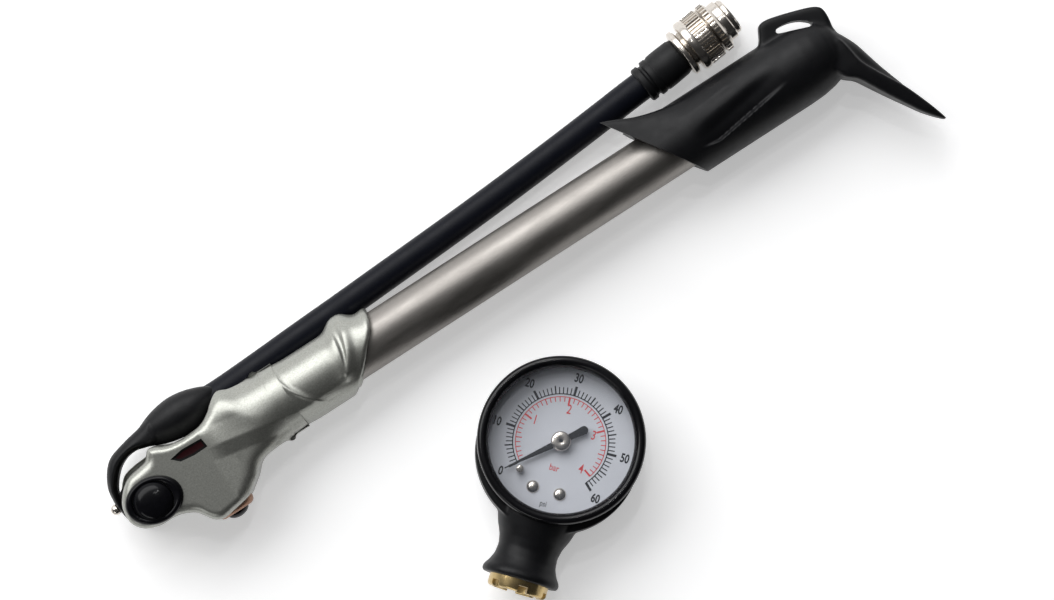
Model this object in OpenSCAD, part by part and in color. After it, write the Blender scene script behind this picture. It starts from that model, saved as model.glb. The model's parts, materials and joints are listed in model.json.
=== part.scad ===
// Shock suspension pump with a fold-out hose and a detached dial gauge.
// X runs along the barrel to the handle, Y towards the hose side, Z up.
// The pump and the gauge lie on the plane z = 0.

/* [Barrel] */
// Outside diameter of the barrel tube
barrel_d = 13.3; // [13.2:0.1:13.4]
// Wall of the barrel tube
barrel_wall = 1.2; // [1.1:0.1:1.3]
// Barrel axis, measured sideways from the hose pivot
barrel_y = 4; // [3.9:0.1:4.1]

/* [Head] */
// Thickness of the head across its two cheeks
head_t = 19; // [19:0.5:20]
// Width of the slot between the cheeks
slot_w = 9; // [8.8:0.1:9.2]
// Thickness of the back cheek
back_cheek_t = 3.6; // [3.4:0.1:3.8]
// Diameter of the hollow pivot axle
axle_d = 6.4; // [6.2:0.1:6.6]

/* [Hose] */
// Outside diameter of the hose
hose_d = 7.3; // [7.1:0.1:7.4]

/* [Gauge] */
// Outside diameter of the gauge bezel
gauge_d = 41; // [40.6:0.2:41.4]
// Tilt of the gauge, which lies propped on its foot
gauge_tilt = 6.6; // [6.4:0.1:6.8]
// Direction of the dial's upright, turned from Y
gauge_turn = -49.4; // [-50:0.2:-49]

/* [Hidden] */
$fn = 64;

pivot_x = -100.275;     // hose pivot in the part's frame
pivot_y = 26.115;
axis_z = head_t / 2;    // height of the barrel axis
barrel_r = barrel_d / 2;
bore_r = barrel_r - barrel_wall;
barrel_start = 36;
barrel_end = 180;
neck_r = 9.05;
collar_r = 8.6;
seam_x = 41;            // joint between head and collar
slot_r = 12.6;          // reach of the slot round the pivot
slot_top = back_cheek_t + slot_w;
arm_gap = 0.3;
axle_r = axle_d / 2;
hub_r = 5.5;
hub_bore_r = axle_r + 0.05;
port_x = 15.25;
port_face = -10.8;      // end of the head's port lobe
port_r = 5.5;
hose_r = hose_d / 2;
hose_low_z = 3.8;       // height of the hose where it lies flat
handle_r = 9.5;
rod_r = 3;
piston_x = 48;
piston_len = 10;

// Middle of the arm's thickness
arm_z = back_cheek_t + slot_w / 2;
button_z = 18.4;

// Corners of the head's front cheek, port lobe and throat, from the left end round
head_points = [
    [-7.75, 0], [-7.3, 3], [-5.25, 6], [-2.5, 8.1], [0.5, 8.75], [3.4, 9.2], [5.25, 11.75],
    [6.3, 11.6], [10, 9.7], [14, 9.1], [19, 9.4], [22, 10.9], [24, 12.6], [26.75, 14.5],
    [29, 13.4], [31.5, 13], [34, 12.6], [34, -4.9], [31, -5.1], [28, -5.4], [26, -6.25],
    [24, -8.25], [21.5, -10.3], [20.75, port_face], [9.75, port_face], [8.5, -9.75],
    [7.25, -8], [5.5, -6.9], [3, -6], [0, -5.75], [-3.4, -5.3], [-6, -3.9], [-7.4, -2]
];
// The back cheek stands a little proud of the front one along the slot
back_points = [
    [-8.6, 0], [-8.4, 3.4], [-7, 6.4], [-4.4, 9.3], [-1, 10.2], [3, 10.6], [5.25, 11.75],
    [8, 8], [5, -5], [0, -5.75], [-3.8, -5.6], [-6.6, -4.2], [-8.2, -2.2]
];
label_points = [[8.9, 6.35], [12.5, 6.95], [17.9, 6.65], [18.2, 4.2], [14.5, 4.1], [10.8, 4.6]];

// The arm: a strap that wraps the left end and swells into a bulb
arm_points = [
    [-8.5, -0.2], [-9.15, 5.5], [-8.5, 9], [-6.5, 12.5], [-4, 14.75], [0, 16], [5, 17],
    [9, 17], [9, 13.2], [6.4, 12.3], [5, 12.3], [2, 13], [-1, 12.6], [-4, 10.9], [-6.75, 7.5],
    [-7.6, 4.4], [-6.6, 4.4], [-4.6, 6.2], [-2.3, 7.6], [0.5, 8], [3.5, 7.2], [5.4, 5],
    [5.6, 1], [0, -1], [-5.4, -1.2]
];

// Hose centre line from the bulb to the end boot, laid by hand
hose_route = [
    [20.8, 13.9, 7.6], [24, 13.6, 6.7], [28, 13.6, 5.6], [33, 13.8, 4.5], [40, 14.1, 3.9],
    [50, 14.6, 3.8], [60, 15, 3.8], [75, 15.7, 3.8], [90, 16.4, 3.8], [105, 17.2, 3.8],
    [120, 18.2, 3.9], [132, 19.1, 4.4], [143, 20, 5.5], [150, 20.6, 6.4], [157, 21.1, 6.95]
];
chuck_at = [154, 20.75, 6.95];
chuck_turn = 6.3;

gauge_r = gauge_d / 2;
gauge_case_r = 19.6;
gauge_depth = 15;
foot_r = 9.7;
foot_at = 33.4;         // distance of the foot's lowest point from the dial's centre
stem_z = foot_r - (foot_at + gauge_case_r) * tan(gauge_tilt);
gauge_x = 89.5;         // dial centre at the case back, from the hose pivot
gauge_y = -41.9;
gauge_lift = gauge_case_r * sin(gauge_tilt);
dial_z = 8;
sweep_deg = 264;
zero_deg = 90 + sweep_deg / 2;
pinion_r = 0.9;
sector_r = 5.4;
sector_at = pinion_r + sector_r + 0.1;

// ---- placing ----
module at_pivot() { translate([pivot_x, pivot_y, 0]) children(); }
module along_barrel(x) { translate([x, barrel_y, axis_z]) rotate([0, 90, 0]) children(); }
module along_port(y) { translate([port_x, y, axis_z]) rotate([90, 0, 0]) children(); }
module along_chuck(s) {
    translate(chuck_at) rotate([0, 0, chuck_turn]) rotate([0, 90, 0]) translate([0, 0, s]) children();
}
module on_gauge() {
    at_pivot() translate([gauge_x, gauge_y, gauge_lift])
        rotate([0, 0, gauge_turn]) rotate([-gauge_tilt, 0, 0]) children();
}
module along_stem(y) { translate([0, -y, stem_z]) rotate([90, 0, 0]) children(); }

// ---- shared shapes ----
module tube(outer, inner, length) {
    difference() {
        cylinder(r = outer, h = length);
        translate([0, 0, -1]) cylinder(r = inner, h = length + 2);
    }
}
module o_ring(ring_r, section_r) { rotate_extrude() translate([ring_r, 0]) circle(r = section_r, $fn = 24); }
module plate(points, low, high) { translate([0, 0, low]) linear_extrude(high - low) polygon(points); }

function unit(v) = v / norm(v);
// One ring of points square to a direction, with its first point to the side
function ring(centre, dir, r, sides) =
    let (side = unit(cross([0, 0, 1], dir)), top = cross(dir, side))
    [for (i = [0 : sides - 1]) centre + r * (cos(360 * i / sides) * side + sin(360 * i / sides) * top)];
function heading(route, i) = unit(route[min(i + 1, len(route) - 1)] - route[max(i - 1, 0)]);
module sweep(route, r, sides) {
    count = len(route);
    points = [for (i = [0 : count - 1]) each ring(route[i], heading(route, i), r, sides)];
    walls = [for (i = [0 : count - 2], j = [0 : sides - 1])
        let (a = i * sides + j, b = i * sides + (j + 1) % sides)
        each [[a, a + sides, b + sides], [a, b + sides, b]]];
    first_cap = [for (j = [0 : sides - 1]) j];
    last_cap = [for (j = [sides - 1 : -1 : 0]) (count - 1) * sides + j];
    polyhedron(points = points, faces = concat(walls, [first_cap, last_cap]), convexity = 8);
}
module coil_spring(coil_r, wire_r, length, turns) {
    steps = 10;
    last = turns * steps;
    route = [for (i = [0 : last])
        [coil_r * cos(360 * i / steps), coil_r * sin(360 * i / steps), wire_r + (length - 2 * wire_r) * i / last]];
    sweep(route, wire_r, 5);
}

// ---- head ----
module hose_cradle() {
    reach = hose_r + 0.4;
    hull() {
        translate([19, 14, 7.6]) sphere(r = reach + 0.3, $fn = 32);
        translate([33, 13.8, 4.3]) sphere(r = reach + 0.3, $fn = 32);
        translate([33, 20, 4.5]) sphere(r = reach, $fn = 32);
    }
    translate([33, 13.8, 4.5]) rotate([0, 90, 2.8]) cylinder(r = reach, h = 14);
    translate([46, 14.4, hose_low_z]) rotate([0, 90, 2.5]) cylinder(r = reach, h = 30);
}
module air_ways() {
    along_port(6) cylinder(r = 1.5, h = 12);
    translate([port_x, barrel_y, axis_z]) rotate([0, 90, 0]) cylinder(r = 1.2, h = 20);
    translate([20, barrel_y, axis_z]) cylinder(r = 0.9, h = 5);
    rotate([0, 0, atan2(barrel_y, 20)]) translate([1, 0, 14.4]) rotate([0, 90, 0]) cylinder(r = 0.9, h = 20);
}
module head_body() {
    color("silver") at_pivot() difference() {
        union() {
            plate(head_points, 0, head_t);
            plate(back_points, 0, back_cheek_t - 0.1);
            along_barrel(26) cylinder(r = neck_r, h = seam_x - 26);
        }
        translate([0, 0, back_cheek_t]) cylinder(r = slot_r, h = slot_w);
        translate([0, 0, -1]) cylinder(r = axle_r, h = head_t + 2);
        translate([0, 0, -1]) cylinder(r = 5, h = 2);
        translate([0, 0, 17.4]) cylinder(r = 5.1, h = 3);
        plate(bezel_points(7.25, 5.8), 18.4, head_t + 1);
        plate(label_points, 18.2, head_t + 1);
        along_barrel(33) cylinder(r = barrel_r, h = 20);
        along_port(-4) cylinder(r = 4, h = 10);
        along_port(-9.8) cylinder(r = 4.9, h = 3);
        air_ways();
        hose_cradle();
    }
}
module label_inlay() {
    color([0.22, 0.05, 0.06]) at_pivot() plate(label_points, 18.2, 18.75);
}
module collar_sleeve() {
    end_cut = atan2(15.35, 12.3);
    color("silver") at_pivot() difference() {
        union() {
            along_barrel(seam_x) cylinder(r = collar_r, h = 27);
            hull() {
                translate([60.2, 12.2, 12]) sphere(r = 2.5, $fn = 32);
                translate([65.5, 8.2, 12.5]) sphere(r = 2.6, $fn = 32);
                translate([56, 6, 13.5]) sphere(r = 3.6, $fn = 32);
            }
        }
        along_barrel(seam_x - 1) cylinder(r = barrel_r, h = 40);
        hose_cradle();
        translate([55.4, -4.85, -1]) rotate([0, 0, end_cut]) translate([-20, -40, 0]) cube([60, 40, 24]);
    }
}
function bezel_points(a, b) = [for (i = [0 : 6 : 354])
    let (x = a * cos(i), y = b * sin(i)) [0.4 + x * cos(8.6) + y * sin(8.6), 0.25 - x * sin(8.6) + y * cos(8.6)]];
module bleed_bezel() {
    color("black") at_pivot() difference() {
        union() {
            plate(bezel_points(7.25, 5.8), 18.4, 19.6);
            plate(bezel_points(6.7, 5.6), 19.6, 20.3);
        }
        translate([0, 0, 17]) cylinder(r = 5.1, h = 5);
    }
}
module bleed_button() {
    dome_r = 8.2;
    cap_r = 4.9;
    color("black") at_pivot() translate([0, 0, button_z]) difference() {
        union() {
            cylinder(r = cap_r, h = 1.6);
            intersection() {
                translate([0, 0, 3.1 - dome_r]) sphere(r = dome_r);
                cylinder(r = cap_r, h = 5);
            }
        }
        translate([0, 0, -1]) cylinder(r = 1, h = 2);
    }
}
module bleed_stem() {
    color("gray") at_pivot() {
        translate([0, 0, 9]) cylinder(r = 0.9, h = button_z - 8);
        translate([0, 0, 9]) cylinder(r = 1.3, h = 1);
    }
}
module bleed_spring() {
    color("lightgray") at_pivot() translate([0, 0, 15.65]) coil_spring(1.9, 0.25, 2.6, 3);
}
module pivot_axle() {
    color("gray") at_pivot() difference() {
        union() {
            translate([0, 0, 0.9]) cylinder(r = axle_r, h = 16.3);
            translate([0, 0, 0.1]) cylinder(r = 4.8, h = 0.85);
        }
        translate([0, 0, 6]) cylinder(r = 1.5, h = 12);
        translate([0, 0, 15.6]) cylinder(r = 2.4, h = 3);
        translate([0, 0, arm_z]) rotate([0, 90, 150]) cylinder(r = 0.8, h = 6);
        rotate([0, 0, atan2(barrel_y, 20)]) translate([0, 0, 14.4]) rotate([0, 90, 0]) cylinder(r = 0.8, h = 6);
        translate([-4, -0.5, -0.5]) cube([8, 1, 1.1]);
    }
}
module port_boss() {
    color("peru") at_pivot() difference() {
        union() {
            along_port(-4.5) cylinder(r = 4, h = 6.5);
            along_port(port_face) cylinder(r = port_r, h = 2.2);
        }
        along_port(0) cylinder(r = 3, h = 20);
    }
}
module port_seal() { color("dimgray") at_pivot() along_port(-10.3) o_ring(4.43, 0.42); }
module port_spring() { color("lightgray") at_pivot() along_port(-4.1) coil_spring(1.5, 0.25, 4, 3); }
module port_plunger() {
    tip_r = 2.94;
    color("black") at_pivot() difference() {
        union() {
            along_port(-7) cylinder(r = tip_r, h = 6.1);
            intersection() {
                along_port(-9.9) sphere(r = 4.5);
                along_port(-13) cylinder(r = tip_r, h = 4);
            }
        }
        along_port(-6) cylinder(r = 2.1, h = 3.5);
    }
}

// ---- barrel ----
module barrel_tube() {
    color("lightslategray") at_pivot() along_barrel(barrel_start) tube(barrel_r, bore_r, barrel_end - barrel_start);
}
module base_plug() {
    color("gray") at_pivot() difference() {
        union() {
            along_barrel(33) cylinder(r = barrel_r, h = 3);
            along_barrel(36) cylinder(r = bore_r, h = 8);
        }
        along_barrel(32) cylinder(r = 2.2, h = 9);
        along_barrel(40) cylinder(r = 1.2, h = 6);
        along_barrel(38) tube(bore_r + 1, bore_r - 0.9, 1.9);
        along_barrel(41.5) tube(bore_r + 1, bore_r - 0.9, 1.9);
    }
}
module barrel_o_rings() {
    color("dimgray") at_pivot() {
        along_barrel(38.95) o_ring(bore_r - 0.46, 0.42);
        along_barrel(42.45) o_ring(bore_r - 0.46, 0.42);
    }
}
module check_ball() { color("lightgray") at_pivot() translate([39.6, barrel_y, axis_z]) sphere(r = 1.75); }
module check_spring() { color("lightgray") at_pivot() along_barrel(33.2) coil_spring(1.4, 0.25, 4.3, 4); }
module rod_gland() {
    color("gray") at_pivot() difference() {
        union() {
            along_barrel(173) cylinder(r = bore_r, h = 7);
            along_barrel(barrel_end) cylinder(r = barrel_r, h = 2);
        }
        along_barrel(170) cylinder(r = rod_r + 0.05, h = 20);
        along_barrel(179.4) cylinder(r = 4.3, h = 4);
    }
}
module rod_wiper() { color("dimgray") at_pivot() along_barrel(179.4) tube(4.3, rod_r + 0.06, 2.2); }

// ---- handle ----
module handle_shell() {
    mouth_cut = atan2(23.5, -15.6);
    grip_end = [
        [180, 12.6], [182.4, 13.2], [183.8, 14.5], [184.7, 16.4], [186.2, 17.9], [190, 17.2],
        [194.7, 15.8], [198.8, 14.6], [200.8, 12], [200.4, 9], [180, 9]
    ];
    palm = [
        [183, 13], [192, 12], [197.5, 9.6], [200.4, 8.5], [200.1, 2], [200.6, -1.8], [198.5, -6.1], [197, -5],
        [194.7, -4.8], [183, -5.2]
    ];
    blade = [
        [200.1, 2], [200.6, -1.8], [202.9, -6.2], [207, -13.9], [211.7, -26], [207.5, -21.7],
        [202.9, -13.9], [200.3, -9.5], [198.5, -6.2], [196, -4.5], [196, 2]
    ];
    spike = [[139.8, 18.9], [145, 15.8], [150, 14.8], [159.4, 13.7], [160, 9], [144, 9]];
    difference() {
        union() {
            along_barrel(139) cylinder(r = handle_r, h = 44);
            plate(spike, 14.4, 17.2);
            plate(grip_end, 6, 13);
            plate(palm, 1.5, 17.5);
            intersection() {
                plate(blade, 0, head_t);
                rotate([0, 90, 0]) translate([0, 0, 190]) linear_extrude(30)
                    polygon([[-0.2, 3], [-0.2, -4], [-3.6, -16], [-7.6, -26.5], [-11.4, -26.5], [-15.4, -16],
                        [-18.8, -4], [-18.8, 3]]);
            }
        }
        translate([140.1, 18.5, -1]) rotate([0, 0, mouth_cut]) translate([-60, 0, 0]) cube([90, 40, 30]);
    }
}
module handle_grip() {
    eyelet = [[187.6, 14], [188.2, 15.3], [191.8, 14.7], [194.9, 13.4], [197.2, 11.4], [196.2, 10.4], [191.2, 12.2]];
    color("darkslategray") at_pivot() difference() {
        handle_shell();
        along_barrel(130) cylinder(r = barrel_r + 0.3, h = 54);
        along_barrel(158) cylinder(r = 7.7, h = 8);
        along_barrel(183) cylinder(r = rod_r, h = 9);
        along_barrel(190) cylinder(r = 2, h = 10);
        along_barrel(196) cylinder(r = 3.6, h = 8);
        plate(eyelet, -1, head_t + 1);
    }
}
module handle_bush() { color("white") at_pivot() along_barrel(158) tube(7.7, barrel_r + 0.06, 8); }
module handle_plug() { color("black") at_pivot() along_barrel(198.9) cylinder(r = 3.6, h = 1.1); }
module rod_screw() {
    color("lightgray") at_pivot() difference() {
        union() {
            along_barrel(186) cylinder(r = 2, h = 10.2);
            along_barrel(196) cylinder(r = 3.4, h = 2.4);
        }
        along_barrel(197) cylinder(r = 1.6, h = 3, $fn = 6);
    }
}
module piston_rod() {
    color("lightgray") at_pivot() difference() {
        along_barrel(piston_x + 1) cylinder(r = rod_r, h = 192 - piston_x - 1);
        along_barrel(186) cylinder(r = 2, h = 8);
    }
}
module piston_head() {
    slide_gap = 0.1;
    color("gray") at_pivot() difference() {
        along_barrel(piston_x) cylinder(r = bore_r - slide_gap, h = piston_len);
        along_barrel(piston_x + 1) cylinder(r = rod_r, h = piston_len);
        along_barrel(piston_x + 1.6) tube(bore_r + 1, bore_r - 1.1, 2.2);
        along_barrel(piston_x + 5.6) tube(bore_r + 1, bore_r - 1.1, 2.2);
    }
}
module piston_cup() {
    color("dimgray") at_pivot() along_barrel(piston_x + 1.6) rotate_extrude()
        polygon([[bore_r - 1.1, 0], [bore_r - 0.06, 0], [bore_r - 0.4, 1.2], [bore_r - 0.6, 2.2], [bore_r - 1.1, 2.2]]);
}
module piston_o_ring() { color("dimgray") at_pivot() along_barrel(piston_x + 6.7) o_ring(bore_r - 0.58, 0.5); }

// ---- hose arm ----
module arm_bulb() {
    hull() {
        translate([5, 14.5, arm_z]) sphere(r = 2.2, $fn = 32);
        translate([10.6, 14.5, arm_z]) sphere(r = 4.3, $fn = 32);
        translate([15.3, 14.6, arm_z]) sphere(r = 5, $fn = 32);
        translate([20.5, 14.5, arm_z]) sphere(r = 3.8, $fn = 32);
        translate([25.6, 14.95, arm_z]) sphere(r = 1, $fn = 32);
    }
}
module arm_boot() {
    color([0.18, 0.18, 0.2]) at_pivot() difference() {
        union() {
            plate(arm_points, back_cheek_t + arm_gap, slot_top - arm_gap);
            arm_bulb();
        }
        translate([0, 0, -1]) cylinder(r = hub_r, h = head_t + 2);
    }
}
module swivel_hub() {
    hub_low = back_cheek_t + 0.25;
    color("goldenrod") at_pivot() difference() {
        translate([0, 0, hub_low]) cylinder(r = hub_r, h = slot_w - 0.5);
        translate([0, 0, -1]) cylinder(r = hub_bore_r, h = head_t + 2);
        for (z = [5.6, 10.6]) translate([0, 0, z - 0.6]) cylinder(r = hub_bore_r + 1, h = 1.2);
        translate([0, 0, arm_z - 0.7]) cylinder(r = hub_bore_r + 0.6, h = 1.4);
        translate([0, 0, arm_z]) rotate([0, 90, 150]) cylinder(r = 0.9, h = 8);
    }
}
module hub_o_rings() {
    color("dimgray") at_pivot() for (z = [5.6, 10.6]) translate([0, 0, z]) o_ring(hub_bore_r + 0.5, 0.47);
}
module arm_ball_plug() { color("lightgray") at_pivot() translate([-9.8, 3.4, arm_z - 1.4]) sphere(r = 1.35); }
module hose_barb() {
    color("lightgray") at_pivot() translate([15.5, 14.4, arm_z]) rotate([0, 90, -4]) tube(2, 1, 8.5);
}
module hose() { color([0.12, 0.13, 0.16]) at_pivot() sweep(hose_route, hose_r, 12); }

// ---- chuck on the hose's end ----
module hose_end_boot() {
    color([0.1, 0.1, 0.1]) at_pivot() difference() {
        union() {
            along_chuck(0) cylinder(r = 4.7, h = 1.9);
            along_chuck(1.5) cylinder(r = 4.2, h = 1.5);
            along_chuck(2.5) cylinder(r = 4.9, h = 1.8);
            along_chuck(4) cylinder(r = 5, h = 7.7);
        }
        along_chuck(2.6) cylinder(r = 3.2, h = 12);
        along_chuck(-2) cylinder(r = hose_r + 0.02, h = 5.3);
    }
}
module hose_ferrule() { color("lightgray") at_pivot() along_chuck(3.4) tube(3.2, 2.1, 8.3); }
module chuck_body() {
    color("lightgray") at_pivot() difference() {
        union() {
            along_chuck(3.6) cylinder(r = 2.1, h = 9);
            along_chuck(11.7) cylinder(r = 6.25, h = 2);
            along_chuck(13.5) cylinder(r = 4.7, h = 9.3);
        }
        along_chuck(2) cylinder(r = 1.2, h = 12);
        along_chuck(13) cylinder(r = 2.4, h = 12);
    }
}
module pin_ring() {
    color("silver") at_pivot() difference() {
        union() {
            along_chuck(14.6) cylinder(r = 6.95, h = 2.1);
            along_chuck(16.7) cylinder(r = 6.8, h = 4.4);
        }
        along_chuck(14) cylinder(r = 4.76, h = 8);
    }
}
module valve_nut() {
    color("silver") at_pivot() difference() {
        union() {
            along_chuck(21.4) cylinder(r = 6.75, h = 2.4);
            along_chuck(23.8) cylinder(r = 5.35, h = 2.3);
            along_chuck(26.1) cylinder(r = 4.75, h = 1.6);
        }
        along_chuck(21) cylinder(r = 4.76, h = 2);
        along_chuck(22.5) cylinder(r = 4.2, h = 1.6);
        along_chuck(24) cylinder(r = 3.9, h = 5);
    }
}
module valve_gasket() { color("dimgray") at_pivot() along_chuck(23.1) tube(4.15, 1.6, 0.9); }
module valve_pin() {
    color("lightgray") at_pivot() {
        along_chuck(14.4) cylinder(r = 2.3, h = 1.2);
        along_chuck(15.4) cylinder(r = 0.9, h = 8.5);
    }
}

// ---- gauge ----
module gauge_case() {
    color("black") on_gauge() difference() {
        cylinder(r = gauge_case_r, h = 12.2);
        translate([0, 0, 0.8]) cylinder(r = 18.6, h = 14);
        along_stem(12) cylinder(r = 2.6, h = 10);
    }
}
module gauge_bezel() {
    color("black") on_gauge() rotate_extrude($fn = 96) polygon([
        [gauge_case_r, 10.4], [gauge_r - 0.1, 10.4], [gauge_r, 10.8], [gauge_r, 14], [gauge_r - 0.4, 14.7],
        [gauge_r - 1.2, gauge_depth], [18.5, 14.6], [17.7, 13.4], [17.7, 12.4], [18.8, 12.4], [18.8, 12.2],
        [gauge_case_r, 12.2]
    ]);
}
module gauge_lens() { color([0.85, 0.9, 0.95, 0.35]) on_gauge() translate([0, 0, 11.3]) cylinder(r = 18.5, h = 1.1); }
module gauge_dial() {
    color("white") on_gauge() difference() {
        translate([0, 0, dial_z - 0.5]) cylinder(r = 18.4, h = 0.5);
        translate([0, 0, dial_z - 1]) cylinder(r = 0.9, h = 2);
        for (x = [-3.4, 3.4]) translate([x, -12.4, dial_z - 1]) cylinder(r = 0.8, h = 2);
    }
}
module dial_screws() {
    dome_r = 1.9;
    color("lightgray") on_gauge() for (x = [-3.4, 3.4]) translate([x, -12.4, dial_z]) {
        intersection() {
            translate([0, 0, 0.85 - dome_r]) sphere(r = dome_r);
            cylinder(r = 1.6, h = 2);
        }
        translate([0, 0, -4]) cylinder(r = 0.8, h = 4.1);
    }
}
module stop_pin() {
    color("lightgray") on_gauge() rotate([0, 0, zero_deg + 8.5]) translate([12, 0, dial_z]) cylinder(r = 0.9, h = 2.3);
}
module gauge_holder() {
    color("black") on_gauge() difference() {
        union() {
            translate([0, -2.4, 1.6]) cylinder(r = 20.1, h = 8.2);
            along_stem(0) rotate_extrude() polygon([
                [0, 14], [10, 14], [10, 20], [9.2, 22.4], [7.7, 25], [7.35, 27.5], [7.8, 30], [9.2, 32.8],
                [foot_r, 33.4], [foot_r, 34.4], [9.2, 35], [0, 35]
            ]);
        }
        translate([0, 0, -30]) cylinder(r = gauge_case_r, h = 60);
        translate([0, 0, 10.3]) cylinder(r = gauge_r + 0.05, h = 10);
        translate([-30, 0, -1]) cube([60, 30, 20]);
        translate([-30, -26, -14]) cube([60, 30, 13]);
        along_stem(14) cylinder(r = 2.6, h = 20);
        along_stem(30) cylinder(r = 7.35, h = 8);
    }
}
module union_nut() {
    color("goldenrod") on_gauge() difference() {
        along_stem(30) cylinder(r = 7.35, h = 8);
        along_stem(29) cylinder(r = 2.6, h = 4);
        along_stem(32) cylinder(r = 5.9, h = 1);
        along_stem(33) cylinder(r = 5.55, h = 8);
    }
}
module union_seal() { color("dimgray") on_gauge() along_stem(32) tube(5.85, 1.7, 0.9); }
module gauge_stem() {
    color("peru") on_gauge() difference() {
        union() {
            along_stem(13) cylinder(r = 2.6, h = 19);
            translate([-4.4, -16.8, 1]) cube([8.8, 5.4, 5.6]);
        }
        along_stem(14) cylinder(r = 0.9, h = 20);
        for (x = [-3.4, 3.4]) translate([x, -12.4, 2]) cylinder(r = 0.8, h = 6);
    }
}
module bourdon_tube() {
    color("peru") on_gauge() translate([0, 0, 5.3]) rotate([0, 0, -72])
        rotate_extrude(angle = 282) translate([14.8, 0]) circle(r = 1, $fn = 24);
}
module movement_plates() {
    color("goldenrod") on_gauge() difference() {
        union() {
            translate([-5, -11.4, 1.4]) cube([10, 15, 0.7]);
            translate([-5, -5, 6.2]) cube([13, 9, 0.7]);
            for (p = [[-3.6, -3.8], [-3.6, 2.6]]) translate([p[0], p[1], 2]) cylinder(r = 0.8, h = 4.3);
        }
        translate([0, 0, -1]) cylinder(r = 0.55, h = 12);
    }
}
module hair_spring() {
    color("peru") on_gauge() translate([0, 0, 3.1]) for (r = [1.2, 1.8, 2.4]) tube(r + 0.1, r - 0.1, 0.4);
}
module sector_gear() {
    color("goldenrod") on_gauge() translate([sector_at, 0, 4.3]) difference() {
        union() {
            intersection() {
                cylinder(r = sector_r, h = 0.8);
                linear_extrude(0.8) polygon([[0.6, 0], [-7, -1.2], [-6.5, 5.6]]);
            }
            cylinder(r = 0.9, h = 0.8);
            translate([0, 0, -1.9]) cylinder(r = 0.5, h = 3.6);
        }
        for (k = [1 : 8]) rotate([0, 0, 181 - 5 * k + 1]) translate([sector_r, 0, -1])
            cylinder(r = 0.16, h = 3, $fn = 16);
    }
}
module pointer_spindle() {
    color("lightgray") on_gauge() difference() {
        union() {
            translate([0, 0, 1]) cylinder(r = 0.5, h = 8.6);
            translate([0, 0, 4.1]) cylinder(r = pinion_r, h = 1.2);
            translate([0, 0, 9.55]) cylinder(r = 2.45, h = 1);
        }
        translate([0, 0, 10.2]) cylinder(r = 0.4, h = 2);
    }
}
module pointer() {
    color("black") on_gauge() translate([0, 0, 9.1]) rotate([0, 0, zero_deg]) difference() {
        union() {
            linear_extrude(0.4) polygon([[-3, -0.8], [3, -0.8], [15.2, -0.22], [15.2, 0.22], [3, 0.8], [-3, 0.8]]);
            linear_extrude(0.4) polygon([[-2, -0.8], [-7.3, -1.05], [-7.3, 1.05], [-2, 0.8]]);
            translate([-7.3, 0, 0]) cylinder(r = 1.05, h = 0.4);
            cylinder(r = 1.7, h = 0.4);
        }
        translate([0, 0, -1]) cylinder(r = 0.5, h = 3);
    }
}

head_body();
collar_sleeve();
label_inlay();
barrel_tube();
barrel_o_rings();
base_plug();
check_ball();
check_spring();
rod_gland();
rod_wiper();
pivot_axle();
bleed_bezel();
bleed_spring();
port_boss();
port_seal();
port_spring();
port_plunger();
bleed_button();
bleed_stem();
handle_grip();
handle_bush();
handle_plug();
rod_screw();
piston_rod();
piston_head();
piston_cup();
piston_o_ring();
arm_boot();
swivel_hub();
hub_o_rings();
arm_ball_plug();
hose_barb();
hose();
hose_end_boot();
hose_ferrule();
chuck_body();
pin_ring();
valve_nut();
valve_gasket();
valve_pin();
gauge_case();
gauge_bezel();
gauge_lens();
gauge_dial();
dial_screws();
stop_pin();
gauge_holder();
union_nut();
union_seal();
gauge_stem();
bourdon_tube();
movement_plates();
hair_spring();
sector_gear();
pointer();
pointer_spindle();
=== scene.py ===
import json
import math

import bmesh
import bpy
from mathutils import Matrix, Vector
from mathutils.kdtree import KDTree


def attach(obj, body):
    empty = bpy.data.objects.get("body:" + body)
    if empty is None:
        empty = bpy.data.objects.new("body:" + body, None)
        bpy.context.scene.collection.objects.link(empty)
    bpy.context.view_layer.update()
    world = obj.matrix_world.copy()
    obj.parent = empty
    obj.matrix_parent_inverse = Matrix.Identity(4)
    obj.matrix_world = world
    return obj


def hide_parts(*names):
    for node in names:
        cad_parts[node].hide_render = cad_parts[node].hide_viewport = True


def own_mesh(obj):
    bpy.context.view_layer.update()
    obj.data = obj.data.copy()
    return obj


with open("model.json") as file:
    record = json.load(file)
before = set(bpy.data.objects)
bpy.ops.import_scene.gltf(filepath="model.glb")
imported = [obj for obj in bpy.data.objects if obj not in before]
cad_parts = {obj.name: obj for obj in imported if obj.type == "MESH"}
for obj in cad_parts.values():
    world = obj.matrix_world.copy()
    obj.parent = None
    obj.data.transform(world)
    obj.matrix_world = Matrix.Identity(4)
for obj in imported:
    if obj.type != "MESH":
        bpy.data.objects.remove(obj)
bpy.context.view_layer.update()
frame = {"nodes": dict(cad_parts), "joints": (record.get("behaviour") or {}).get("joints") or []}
scene = bpy.context.scene
joints = {joint["name"]: joint for joint in frame["joints"]}
print("frame loaded:", len(frame["nodes"]), "nodes")

# places: a piece is drawn in millimetres and then set into the frame
toMetres = Matrix.Scale(0.001, 4)
pivot = Vector(joints["hose_swing"]["pos_m"])
layout = {
    "barrelY": 4, "axisZ": 9.5, "headThick": 19, "portX": 15.25, "armZ": 8.1,
    "chuckAt": (154, 20.75, 6.95), "chuckTurn": 6.3, "dialUnderPointer": 9,
}
pumpPlace = Matrix.Translation((pivot.x, pivot.y, 0)) @ toMetres


def turnedPlace(place, at, axis, degrees):
    return place @ Matrix.Translation(at) @ Matrix.Rotation(math.radians(degrees), 4, axis)


def alongBarrel(x):  # height runs to the handle
    return turnedPlace(pumpPlace, (x, layout["barrelY"], layout["axisZ"]), "Y", 90)


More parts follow.
